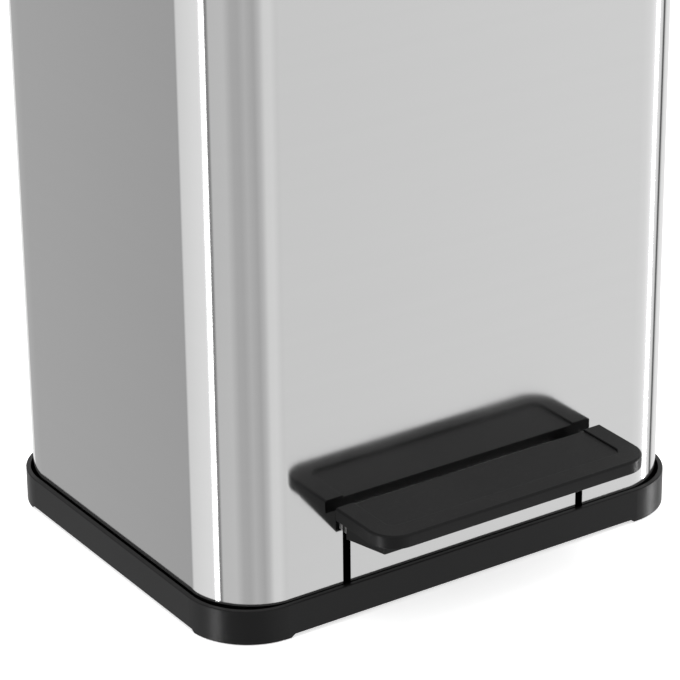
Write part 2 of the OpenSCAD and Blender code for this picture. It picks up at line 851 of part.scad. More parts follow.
module bail_lugs() {
    wall = bucket_w / 2 - bucket_t;
    placed() color(zinc) translate([0, mouth_y, 0]) both_sides() difference() {
        box(wall - lug_t, wall, -lug_half, lug_half, bail_z - lug_half, bail_z + lug_half - 1);
        rod_x(wire_r + fit_gap, wall - lug_t - past, wall + past, 0, bail_z);
    }
}

module bail_wire() {
    straight_y = -bail_reach + bail_bend;
    straight_x = bail_half - bail_bend;
    placed() color(zinc) translate([0, mouth_y, 0]) {
        both_sides() {
            rod_y(wire_r, straight_y, 0, bail_half, bail_z);
            translate([bail_half, 0, bail_z]) sphere(wire_r);
            rod_x(wire_r, bail_half, bucket_w / 2 - bucket_t - 1, 0, bail_z);
            translate([straight_x, straight_y, bail_z]) rotate([0, 0, -90]) rotate_extrude(angle = 90)
                translate([bail_bend, 0]) circle(wire_r);
        }
        rod_x(wire_r, -straight_x, straight_x, -bail_reach, bail_z);
    }
}

module bail_grip() {
    placed() color(black) translate([0, mouth_y, 0]) difference() {
        rod_x(grip_r, -grip_len / 2, grip_len / 2, -bail_reach, bail_z);
        rod_x(wire_r + fit_gap, -grip_len / 2 - past, grip_len / 2 + past, -bail_reach, bail_z);
    }
}

base_tray();
anti_slip_pads();
body_shell();
top_collar();
hinge_housing();
housing_screws();
hinge_pins();
bearing_caps();
bearing_screws();
pivot_bushes();
rod_guides();
damper_cylinder();
damper_clips();
wall_rivets();
lid_skin();
lid_liner();
lid_bumpers();
lid_screws();
knuckle_bushes();
pedal_tread();
pedal_arm_left();
pedal_arm_right();
lever_bridge();
lever_rivets();
tread_screws();
pivot_shaft();
shaft_clips();
lever_pin();
push_rod();
rod_foot();
rod_tip();
damper_rod();
bucket();
bail_lugs();
bail_wire();
bail_grip();
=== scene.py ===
import json
import math

import bmesh
import bpy
from bpy.props import FloatProperty, FloatVectorProperty, IntProperty, PointerProperty
from bpy.types import Operator, Panel, PropertyGroup
from mathutils import Matrix, Vector


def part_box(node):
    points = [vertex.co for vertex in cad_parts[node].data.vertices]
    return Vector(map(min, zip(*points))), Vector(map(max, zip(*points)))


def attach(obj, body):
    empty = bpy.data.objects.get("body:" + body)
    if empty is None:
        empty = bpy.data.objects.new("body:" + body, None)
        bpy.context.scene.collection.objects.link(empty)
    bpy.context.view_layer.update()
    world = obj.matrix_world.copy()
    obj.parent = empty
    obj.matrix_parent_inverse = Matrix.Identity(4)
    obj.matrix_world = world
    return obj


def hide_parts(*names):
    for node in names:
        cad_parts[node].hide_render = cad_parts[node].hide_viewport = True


bl_info = {
    "name": "Pedal Bin",
    "version": (1, 0, 0),
    "blender": (4, 5, 0),
    "location": "3D View > Sidebar > Pedal Bin",
    "description": "Detailed pieces, finishes and a studio for a rectangular steel pedal bin",
    "category": "Add Mesh",
}

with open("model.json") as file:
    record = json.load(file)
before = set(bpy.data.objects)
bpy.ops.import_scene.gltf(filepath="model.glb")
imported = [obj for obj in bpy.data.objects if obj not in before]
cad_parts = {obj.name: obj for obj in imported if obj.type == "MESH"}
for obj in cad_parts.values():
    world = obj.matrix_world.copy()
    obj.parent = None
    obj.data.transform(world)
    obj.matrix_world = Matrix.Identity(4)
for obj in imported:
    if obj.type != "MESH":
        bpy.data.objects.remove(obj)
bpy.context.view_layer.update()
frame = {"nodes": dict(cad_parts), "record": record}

MM = 0.001
WELD = 0.01 * MM  # points closer than this are one point
LEVEL = 0.9  # a face looks along an axis where its normal's share of that axis is over this


# ---------------------------------------------------------------- settings


def length(name, description, default_mm):
    return FloatProperty(name=name, description=description, default=default_mm * MM, min=0.0,
                         unit="LENGTH")


def tint(name, description, default):
    return FloatVectorProperty(name=name, description=description, default=default, size=3, min=0.0,
                               max=1.0, subtype="COLOR")


def share(name, description, default):
    return FloatProperty(name=name, description=description, default=default, min=0.0, max=1.0,
                         subtype="FACTOR")


class StudioSettings(PropertyGroup):
    """Camera, lights and floor"""
    azimuth: FloatProperty(name="Azimuth", default=math.radians(33.574), unit="ROTATION",
                           description="Direction the camera looks from, left of the pedal's front")
    elevation: FloatProperty(name="Elevation", description="Height of the camera above the horizon",
                             default=math.radians(24.402), unit="ROTATION")
    roll: FloatProperty(name="Roll", description="Tilt of the camera about its own axis",
                        default=math.radians(-0.624), unit="ROTATION")
    distance: length("Distance", "From the camera to the point that it looks at", 2127.7)
    lens: FloatProperty(name="Lens", default=170.29,
                        description="Focal length on a 36 mm wide sensor, in millimetres")
    aim_left: length("Aim left", "Aim point's distance left of the bin's middle", 103.7)
    aim_height: length("Aim height", "Aim point's height on the front wall", 210.3)
    floor_size: length("Floor size", "Width of the pale floor", 16000)
    floor_tint: tint("Floor colour", "Colour of the pale floor", (0.93, 0.93, 0.93))
    strip_light: FloatProperty(name="Strip lights", default=3.0, min=0.0,
                               description="Brightness of the two strip lights")
    strip_in_floor: FloatProperty(name="Strips in the floor", default=38.0, min=0.0,
                                  description="Brightness of the strip lights mirrored in the lit floor")
    ceiling: share("Ceiling", "Brightness of the ceiling", 0.85)
    floor_glow: share("Floor glow", "Light given off by the floor, which is a lit table", 0.62)


class SteelSettings(PropertyGroup):
    """The brushed sleeve and lid"""
    tint: tint("Steel", "Reflected colour of the brushed steel", (0.62, 0.62, 0.62))
    roughness: share("Roughness", "Mean roughness of the brushed steel", 0.072)
    stretch: share("Stretch", "How far the grain stretches reflections upright", 0.85)
    seam: length("Seam", "Width of the welded seam down the back", 0.8)
    sleeve_wall: length("Sleeve wall", "Thickness of the sleeve's sheet", 0.5)
    corner_steps: IntProperty(name="Corner steps", description="Facets in each upright corner", default=36,
                              min=4)


class PlasticSettings(PropertyGroup):
    """The mouldings"""
    black: tint("Black", "Colour of the black mouldings", (0.004, 0.004, 0.0042))
    grain: length("Grain", "Size of the moulded grain", 0.5)
    edge: length("Edge", "Rounding of the mouldings' crisp edges", 0.6)
    soft_edge: length("Soft edge", "Rounding of the tread's front edge", 1.8)
    bucket: tint("Bucket", "Colour of the lift-out bucket", (0.06, 0.062, 0.066))


SETTINGS = {"bin_studio": StudioSettings, "bin_steel": SteelSettings, "bin_plastic": PlasticSettings}


# ---------------------------------------------------------------- small tools


def node_span(node, keep=lambda p: True):
    """Lowest and highest corners of the part of a CAD node where keep() holds."""
    points = [v.co for v in frame["nodes"][node].data.vertices if keep(v.co)]
    low = Vector(min(p[i] for p in points) for i in range(3))
    high = Vector(max(p[i] for p in points) for i in range(3))
    return low, high


def piece(name, bm, material, body, stands_for=()):
    """Turns a bmesh into a finished object that rides on a body."""
    mesh = bpy.data.meshes.new(name)
    bm.to_mesh(mesh)
    bm.free()
    obj = bpy.data.objects.new(name, mesh)
    bpy.context.scene.collection.objects.link(obj)
    mesh.materials.append(material)
    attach(obj, body)
    if stands_for:
        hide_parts(*stands_for)
    return obj


def smooth(obj, sharp_angle=math.radians(30)):
    """Smooth shading that keeps edges over sharp_angle crisp, and flat walls flat."""
    obj.data.shade_smooth()
    obj.data.set_sharp_from_angle(angle=sharp_angle)
    weighted = obj.modifiers.new("Flat walls", "WEIGHTED_NORMAL")
    weighted.keep_sharp = True
    weighted.weight = 100


def near(a, b, gap=0.02 * MM):
    """True where two measures agree."""
    return abs(a - b) < gap


def block(bm, low, high):
    """A box between two corners; returns its vertices."""
    low, high = Vector(low), Vector(high)
    middle = Matrix.Translation((low + high) / 2) @ Matrix.Diagonal((*(high - low), 1))
    return bmesh.ops.create_cube(bm, size=1, matrix=middle)["verts"]


def bevel(bm, edges, size, steps):
    """Rounds edges off."""
    bmesh.ops.bevel(bm, geom=edges, offset=size, offset_type="OFFSET", segments=steps, profile=0.5,
                    affect="EDGES", material=-1)


def wall_block(bm, low, high, radius, steps):
    """A block whose upright corners are rounded."""
    edges = dict.fromkeys(e for v in block(bm, low, high) for e in v.link_edges)
    upright = [e for e in edges if abs(e.verts[0].co.z - e.verts[1].co.z) > (high.z - low.z) / 2]
    bevel(bm, upright, radius, steps)


def cut(bm, point, normal):
    """Adds a loop of edges where a plane crosses the mesh."""
    bmesh.ops.bisect_plane(bm, geom=bm.verts[:] + bm.edges[:] + bm.faces[:], plane_co=point, plane_no=normal)


def faces_at(bm, keep):
    """Faces whose middle satisfies keep(middle, normal)."""
    bm.normal_update()
    return [f for f in bm.faces if keep(f.calc_center_median(), f.normal)]


def new_verts(made):
    """The vertices among what an extrusion made."""
    return [v for v in made["geom"] if isinstance(v, bmesh.types.BMVert)]


def pull(bm, faces):
    """Extrudes faces without moving them yet; returns the vertices to move."""
    verts = new_verts(bmesh.ops.extrude_face_region(bm, geom=faces))
    bmesh.ops.delete(bm, geom=faces, context="FACES")
    return verts


def open_side(bm, keep):
    """Clears the skin where a pocket breaks through a side: faces whose middle satisfies keep(middle)."""
    skin = [f for f in bm.faces if keep(f.calc_center_median())]
    bmesh.ops.delete(bm, geom=skin, context="FACES")
    bmesh.ops.remove_doubles(bm, verts=bm.verts[:], dist=WELD)


def round_edges(bm, keep, size, steps):
    """Rounds the edges for which keep(first end, second end, edge) holds."""
    bm.normal_update()
    bevel(bm, [e for e in bm.edges if keep(e.verts[0].co, e.verts[1].co, e)], size, steps)


# ---------------------------------------------------------------- shader tools

SLEEVE_GRAIN = (4.0, 4.0, 2400.0)  # scratches per metre along X, Y and Z: level lines round the sleeve
LID_GRAIN = (4.0, 2400.0, 900.0)  # lines across the lid, from side to side
GRIP_GRAIN = (6.0, 1500.0, 6.0)  # lines across the tread
DUST_SLOPE = 0.85  # dust lies where the normal's Z is over this
MOTE_LEVEL = 0.66  # noise over this is a mote
DUST_TINT = (0.3, 0.29, 0.27)
DUST_SHARE = 0.035  # how much of the dust's colour shows


def add(nodes, kind, **values):
    """A shader node with its options set."""
    made = nodes.new(kind)
    for name, value in values.items():
        setattr(made, name, value)
    return made


def math_node(tree, operation, a, b=None):
    """A maths node; each value is a number or a socket."""
    made = add(tree.nodes, "ShaderNodeMath", operation=operation)
    for socket, value in zip(made.inputs, (a, b)):
        if value is None:
            continue
        if isinstance(value, (int, float)):
            socket.default_value = value
        else:
            tree.links.new(value, socket)
    return made.outputs[0]


def new_group(name, inputs, outputs):
    """A shader node group with named sockets; inputs is {name: default}."""
    tree = bpy.data.node_groups.new(name, "ShaderNodeTree")
    for label, default in inputs.items():
        kind = "NodeSocketVector" if isinstance(default, tuple) else "NodeSocketFloat"
        socket = tree.interface.new_socket(label, in_out="INPUT", socket_type=kind)
        socket.default_value = default
    for label in outputs:
        tree.interface.new_socket(label, in_out="OUTPUT", socket_type="NodeSocketFloat")
    return tree, tree.nodes.new("NodeGroupInput").outputs, tree.nodes.new("NodeGroupOutput").inputs


def noise(tree, vector, scale, detail=2.0, roughness=0.5):
    """Cloudy noise between 0 and 1."""
    made = add(tree.nodes, "ShaderNodeTexNoise")
    tree.links.new(vector, made.inputs["Vector"])
    made.inputs["Scale"].default_value = scale
    made.inputs["Detail"].default_value = detail
    made.inputs["Roughness"].default_value = roughness
    return made.outputs["Fac"]


def scaled(tree, vector, by):
    """A vector multiplied, axis by axis, by three numbers or by a socket."""
    made = add(tree.nodes, "ShaderNodeVectorMath", operation="MULTIPLY")
    tree.links.new(vector, made.inputs[0])
    if isinstance(by, tuple):
        made.inputs[1].default_value = by
    else:
        tree.links.new(by, made.inputs[1])
    return made.outputs["Vector"]


def brushed_grain():
    """Fine scratches: the grain runs along the axes where Stretch is small."""
    if "Brushed grain" in bpy.data.node_groups:
        return bpy.data.node_groups["Brushed grain"]
    defaults = {"Vector": (0.0, 0.0, 0.0), "Stretch": SLEEVE_GRAIN}
    tree, inputs, outputs = new_group("Brushed grain", defaults, ("Fine", "Broad"))
    lines = scaled(tree, inputs["Vector"], inputs["Stretch"])
    tree.links.new(noise(tree, lines, 1.0, 3.0, 0.6), outputs["Fine"])
    tree.links.new(noise(tree, scaled(tree, lines, (0.4, 0.4, 0.06)), 1.0, 2.0), outputs["Broad"])
    return tree


def moulded_grain():
    """Fine pits of a spark-eroded mould and slow changes of gloss."""
    if "Moulded grain" in bpy.data.node_groups:
        return bpy.data.node_groups["Moulded grain"]
    defaults = {"Vector": (0.0, 0.0, 0.0), "Cells per metre": 2000.0}
    tree, inputs, outputs = new_group("Moulded grain", defaults, ("Height", "Gloss"))
    cells = add(tree.nodes, "ShaderNodeTexVoronoi", feature="SMOOTH_F1")
    tree.links.new(inputs["Vector"], cells.inputs["Vector"])
    tree.links.new(inputs["Cells per metre"], cells.inputs["Scale"])
    fine = add(tree.nodes, "ShaderNodeTexNoise")
    tree.links.new(inputs["Vector"], fine.inputs["Vector"])
    tree.links.new(math_node(tree, "MULTIPLY", inputs["Cells per metre"], 1.7), fine.inputs["Scale"])
    tree.links.new(math_node(tree, "ADD", cells.outputs["Distance"], fine.outputs["Fac"]), outputs["Height"])
    tree.links.new(noise(tree, inputs["Vector"], 14.0, 4.0), outputs["Gloss"])
    return tree


def handling():
    """Marks of use: soft smudges, and dust in a thin film and single motes on upward faces."""
    if "Handling" in bpy.data.node_groups:
        return bpy.data.node_groups["Handling"]
    tree, inputs, outputs = new_group("Handling", {"Vector": (0.0, 0.0, 0.0)}, ("Smudge", "Dust"))
    cloud = ranged(tree, noise(tree, inputs["Vector"], 9.0, 5.0, 0.6), -1.2, 2.0)  # clear in most places
    tree.links.new(math_node(tree, "MAXIMUM", cloud, 0.0), outputs["Smudge"])
    facing = add(tree.nodes, "ShaderNodeSeparateXYZ")
    tree.links.new(add(tree.nodes, "ShaderNodeTexCoord").outputs["Normal"], facing.inputs[0])
    upward = math_node(tree, "GREATER_THAN", facing.outputs["Z"], DUST_SLOPE)
    motes = math_node(tree, "GREATER_THAN", noise(tree, inputs["Vector"], 700.0), MOTE_LEVEL)
    film = math_node(tree, "MULTIPLY", noise(tree, inputs["Vector"], 30.0, 4.0), 0.3)
    tree.links.new(math_node(tree, "MULTIPLY", math_node(tree, "ADD", motes, film), upward), outputs["Dust"])
    return tree


def dusted(tree, place, colour, amount):
    """Adds a little pale dust to a colour on upward faces."""
    made = add(tree.nodes, "ShaderNodeMix", data_type="RGBA")
    mask = place_group(tree, handling(), place)["Dust"]
    tree.links.new(math_node(tree, "MULTIPLY", mask, amount), made.inputs["Factor"])
    tree.links.new(colour, made.inputs["A"])
    made.inputs["B"].default_value = (*DUST_TINT, 1)
    return made.outputs["Result"]


def ranged(tree, value, low, high):
    """Maps a 0 to 1 value to low..high."""
    made = add(tree.nodes, "ShaderNodeMapRange")
    tree.links.new(value, made.inputs["Value"])
    made.inputs["To Min"].default_value = low
    made.inputs["To Max"].default_value = high
    return made.outputs["Result"]


def between(tree, factor, dark, light):
    """Mixes two colours by a factor."""
    made = add(tree.nodes, "ShaderNodeMix", data_type="RGBA")
    tree.links.new(factor, made.inputs["Factor"])
    made.inputs["A"].default_value = (*dark, 1)
    made.inputs["B"].default_value = (*light, 1)
    return made.outputs["Result"]


def start_material(name):
    """A new material; returns it with its tree, principled shader and object coordinates."""
    material = bpy.data.materials.new(name)
    material.use_nodes = True
    tree = material.node_tree
    shader = tree.nodes["Principled BSDF"]
    coordinates = add(tree.nodes, "ShaderNodeTexCoord").outputs["Object"]
    return material, tree, shader, coordinates


def place_group(tree, group, vector, **values):
    """Puts a node group in a tree, fed by a vector; returns its outputs."""
    made = add(tree.nodes, "ShaderNodeGroup", node_tree=group)
    tree.links.new(vector, made.inputs["Vector"])
    for label, value in values.items():
        made.inputs[label.replace("_", " ")].default_value = value
    return made.outputs


def bump(tree, shader, height, strength, distance):
    """Relief on the shader, on top of any relief that it has; distance is in metres."""
    made = add(tree.nodes, "ShaderNodeBump")
    made.inputs["Strength"].default_value = strength
    made.inputs["Distance"].default_value = distance
    tree.links.new(height, made.inputs["Height"])
    for below in shader.inputs["Normal"].links:
        tree.links.new(below.from_socket, made.inputs["Normal"])
    tree.links.new(made.outputs["Normal"], shader.inputs["Normal"])


def shade(colour, by):
    """A colour made lighter or darker."""
    return tuple(min(1.0, c * by) for c in colour)


# ---------------------------------------------------------------- finishes


def brushed_steel(name, settings, stretch):
    """Stainless sheet brushed along one direction."""
    material, tree, shader, place = start_material(name)
    grain = place_group(tree, brushed_grain(), place, Stretch=stretch)
    shader.inputs["Metallic"].default_value = 1.0
    shader.inputs["Anisotropic"].default_value = settings.stretch
    shader.inputs["Anisotropic Rotation"].default_value = 0.25
    colour = between(tree, grain["Broad"], shade(settings.tint, 0.99), shade(settings.tint, 1.01))
    tree.links.new(colour, shader.inputs["Base Color"])
    smudges = place_group(tree, handling(), place)
    fine = ranged(tree, grain["Fine"], settings.roughness - 0.01, settings.roughness + 0.01)
    rough = math_node(tree, "ADD", fine, math_node(tree, "MULTIPLY", smudges["Smudge"], 0.025))
    tree.links.new(rough, shader.inputs["Roughness"])
    bump(tree, shader, grain["Fine"], 0.004, 0.01 * MM)
    return material


def moulded_plastic(name, colour, grain_size, roughness, depth=0.25, sheen=0.5):
    """Moulded plastic with a fine eroded grain; sheen is the shader's specular level."""
    material, tree, shader, place = start_material(name)
    shader.inputs["Specular IOR Level"].default_value = sheen
    grain = place_group(tree, moulded_grain(), place, Cells_per_metre=1 / grain_size)
    clean = between(tree, grain["Gloss"], shade(colour, 0.9), shade(colour, 1.12))
    tree.links.new(dusted(tree, place, clean, DUST_SHARE), shader.inputs["Base Color"])
    rough = ranged(tree, grain["Gloss"], roughness - 0.05, roughness + 0.05)
    tree.links.new(rough, shader.inputs["Roughness"])
    bump(tree, shader, grain["Height"], depth, 0.1 * MM)
    return material


def tread_plastic(settings):
    """The black moulding with fine grip lines across the tread."""
    material = moulded_plastic("Tread moulding", settings.black, settings.grain, 0.4, depth=0.2, sheen=0.17)
    tree = material.node_tree
    place = add(tree.nodes, "ShaderNodeTexCoord").outputs["Object"]
    lines = place_group(tree, brushed_grain(), place, Stretch=GRIP_GRAIN)["Fine"]
    bump(tree, tree.nodes["Principled BSDF"], lines, 0.35, 0.15 * MM)
    return material


def plated_steel(name, colour, roughness):
    """Zinc-plated steel with faint spangle and patchy gloss."""
    material, tree, shader, place = start_material(name)
    grain = place_group(tree, moulded_grain(), place, Cells_per_metre=260.0)
    shader.inputs["Metallic"].default_value = 1.0
    spangle = between(tree, grain["Height"], shade(colour, 0.92), shade(colour, 1.06))
    tree.links.new(spangle, shader.inputs["Base Color"])
    rough = ranged(tree, grain["Gloss"], roughness - 0.08, roughness + 0.08)
    tree.links.new(rough, shader.inputs["Roughness"])
    bump(tree, shader, grain["Height"], 0.05, 0.1 * MM)
    return material


# ---------------------------------------------------------------- studio

# The studio round the bin, as its reflections see it: degrees from the pedal's front towards the bin's
# left, and the brightness of the pale wall there.
WALL_STOPS = (
    (-180, 1.0), (-103, 1.04), (-98, 0.72), (-95, 0.1), (-91.5, 0.1), (-88, 0.95), (-79, 1.22), (-77.5, 1.6),
    (-69, 1.6), (-67, 1.35), (-60, 1.15), (-52, 1.04), (-40, 1.0), (-33, 0.91), (-27, 0.89), (-16, 1.0),
    (-6, 0.98), (2, 0.72), (10, 0.58), (24, 0.68), (34, 0.59), (44, 0.61), (56, 0.78), (79, 0.76), (82, 0.3),
    (85, 0.32), (86.8, 1.5), (92.5, 1.5), (97, 1.12), (141.5, 0.97), (147, 0.46), (153, 0.575),
)
WALL_PEAK = 1.6  # the brightest stop, since the ramp's own colours end at 1
STRIPS = ((-73.2, 5.0), (89.8, 4.3))  # middle and half width of each strip light's hot core, in degrees
CEILING_START = 0.1  # height above the horizon, as a sine, where the walls start to fade
CEILING_FADE = 4.0  # how fast they fade with height


def studio_world(scene, settings):
    """A wrap of soft walls and strip lights; the camera itself sees a plain pale backdrop."""
    world = bpy.data.worlds.new("Studio")
    world.use_nodes = True
    scene.world = world
    tree = world.node_tree
    direction = add(tree.nodes, "ShaderNodeSeparateXYZ")
    tree.links.new(add(tree.nodes, "ShaderNodeTexCoord").outputs["Generated"], direction.inputs[0])
    left = math_node(tree, "MULTIPLY", direction.outputs["X"], -1.0)
    front = math_node(tree, "MULTIPLY", direction.outputs["Y"], -1.0)
    turn = math_node(tree, "DIVIDE", math_node(tree, "ARCTAN2", left, front), 2 * math.pi)
    ramp = add(tree.nodes, "ShaderNodeValToRGB")
    tree.links.new(math_node(tree, "ADD", turn, 0.5), ramp.inputs["Fac"])
    stops = ramp.color_ramp.elements
    for index, (degrees, level) in enumerate(WALL_STOPS):
        place = degrees / 360 + 0.5
        stop = stops[index] if index < 2 else stops.new(place)
        stop.position = place
        stop.color = (*[level / WALL_PEAK] * 3, 1)
    walls = math_node(tree, "MULTIPLY", ramp.outputs["Color"], WALL_PEAK)
    # the walls fade into an even ceiling
    above = math_node(tree, "SUBTRACT", direction.outputs["Z"], CEILING_START)
    rise = math_node(tree, "MULTIPLY", above, CEILING_FADE)
    rise.node.use_clamp = True
    change = math_node(tree, "SUBTRACT", settings.ceiling, walls)
    total = math_node(tree, "ADD", walls, math_node(tree, "MULTIPLY", rise, change))
    # the hot cores shine out of the lit floor much more strongly than they do across the room
    below = math_node(tree, "LESS_THAN", direction.outputs["Z"], 0.0)
    strength = ranged(tree, below, settings.strip_light, settings.strip_in_floor)
    for middle, half in STRIPS:
        away = math_node(tree, "ABSOLUTE", math_node(tree, "SUBTRACT", turn, middle / 360))
        slope = math_node(tree, "SUBTRACT", 1.0, math_node(tree, "MULTIPLY", away, 360 / half))
        core = math_node(tree, "MAXIMUM", slope, 0.0)
        peak = math_node(tree, "MULTIPLY", core, core)
        total = math_node(tree, "ADD", total, math_node(tree, "MULTIPLY", peak, strength))
    wrap = tree.nodes["Background"]
    wrap.inputs["Color"].default_value = (1, 1, 1, 1)
    tree.links.new(total, wrap.inputs["Strength"])
    plain = add(tree.nodes, "ShaderNodeBackground")
    plain.inputs["Color"].default_value = (1, 1, 1, 1)
    chosen = add(tree.nodes, "ShaderNodeMixShader")
    tree.links.new(add(tree.nodes, "ShaderNodeLightPath").outputs["Is Camera Ray"], chosen.inputs[0])
    tree.links.new(wrap.outputs[0], chosen.inputs[1])
    tree.links.new(plain.outputs[0], chosen.inputs[2])
    tree.links.new(chosen.outputs[0], tree.nodes["World Output"].inputs["Surface"])


class PEDALBIN_OT_stage(Operator):
    """Camera, soft studio light and a pale floor"""
    bl_idname = "pedalbin.stage"
    bl_label = "Stage"

    def execute(self, context):
        scene = context.scene
        settings = scene.bin_studio
        scene.view_settings.view_transform = "Standard"
        studio_world(scene, settings)
        self.make_floor(scene, settings)
        self.make_camera(scene, settings)
        self.make_light(scene)
        return {"FINISHED"}

    def make_floor(self, scene, settings):
        bm = bmesh.new()
        bmesh.ops.create_grid(bm, x_segments=1, y_segments=1, size=settings.floor_size / 2)
        mesh = bpy.data.meshes.new("floor")
        bm.to_mesh(mesh)
        bm.free()
        floor = bpy.data.objects.new("floor", mesh)
        scene.collection.objects.link(floor)
        material, _, shader, _ = start_material("Pale floor")
        shader.inputs["Base Color"].default_value = (*settings.floor_tint, 1)
        shader.inputs["Roughness"].default_value = 0.9
        shader.inputs["Specular IOR Level"].default_value = 0.1
        shader.inputs["Emission Color"].default_value = (1, 1, 1, 1)
        shader.inputs["Emission Strength"].default_value = settings.floor_glow
        mesh.materials.append(material)
        floor.visible_glossy = False

    def make_camera(self, scene, settings):
        turn, rise = settings.azimuth, settings.elevation
        level = math.cos(rise)
        ahead = Vector((math.sin(turn) * level, math.cos(turn) * level, -math.sin(rise)))
        right = Vector((math.cos(turn), -math.sin(turn), 0))
        up = right.cross(ahead)
        target = Vector((-settings.aim_left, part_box("body_shell")[0].y, settings.aim_height))
        data = bpy.data.cameras.new("camera")
        data.lens = settings.lens
        data.sensor_width = 36
        camera = bpy.data.objects.new("camera", data)
        scene.collection.objects.link(camera)
        axes = Matrix((right, up, -ahead)).transposed() @ Matrix.Rotation(settings.roll, 3, "Z")
        camera.matrix_world = Matrix.Translation(target - ahead * settings.distance) @ axes.to_4x4()
        scene.camera = camera

    def make_light(self, scene):
        """A broad soft lamp over the bin, which no reflection shows."""
        data = bpy.data.lights.new("overhead", "AREA")
        data.shape = "RECTANGLE"
        data.size = 3.0
        data.size_y = 3.0
        data.energy = 60
        lamp = bpy.data.objects.new("overhead", data)
        lamp.location = (0, 0, 3.2)
        lamp.visible_camera = False
        lamp.visible_glossy = False
        scene.collection.objects.link(lamp)


# ---------------------------------------------------------------- pieces


class PEDALBIN_OT_sleeve(Operator):
    """Brushed steel sleeve with its two pedal slots"""
    bl_idname = "pedalbin.sleeve"
    bl_label = "Body sleeve"

    def execute(self, context):
        steel = context.scene.bin_steel
        low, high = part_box("body_shell")
        straight = node_span("body_shell", lambda p: abs(p.y - low.y) < 0.05 * MM)[1].x
        bm = bmesh.new()
        wall_block(bm, low, high, high.x - straight, steel.corner_steps)
        lids = [f for f in bm.faces if abs(f.normal.z) > LEVEL]
        bmesh.ops.delete(bm, geom=lids, context="FACES")
        self.cut_slots(bm, low, high)
        self.cut_seam(bm, steel, high)
        sleeve = piece("steel_sleeve", bm, finishes()["body_steel"], "bin", ["body_shell"])
        wall = sleeve.modifiers.new("Sheet", "SOLIDIFY")
        wall.thickness = steel.sleeve_wall
        wall.offset = -1
        smooth(sleeve)
        return {"FINISHED"}

    def cut_seam(self, bm, steel, high):
        """A shallow welded seam down the middle of the back."""
        for x in (-steel.seam / 2, 0, steel.seam / 2):
            cut(bm, (x, 0, 0), (1, 0, 0))
        for v in bm.verts:
            if near(v.co.x, 0) and near(v.co.y, high.y):
                v.co.y -= steel.seam / 4

    def cut_slots(self, bm, low, high):
        """The two slots in the front wall that the pedal's arms go through."""
        front = low.y + 2 * MM  # only the front wall lies this far forward

        def in_slot(p):
            return p.y < front and low.z + 5 * MM < p.z < high.z / 2 and p.x > 0
        slot_low, slot_high = node_span("body_shell", in_slot)
        for side in (-1, 1):
            for x in (slot_low.x, slot_high.x):
                cut(bm, (side * x, 0, 0), (1, 0, 0))
        for z in (slot_low.z, slot_high.z):
            cut(bm, (0, 0, z), (0, 0, 1))
        inside = faces_at(bm, lambda m, n: slot_low.x < abs(m.x) < slot_high.x
                          and slot_low.z < m.z < slot_high.z and m.y < front)
        bmesh.ops.delete(bm, geom=inside, context="FACES")


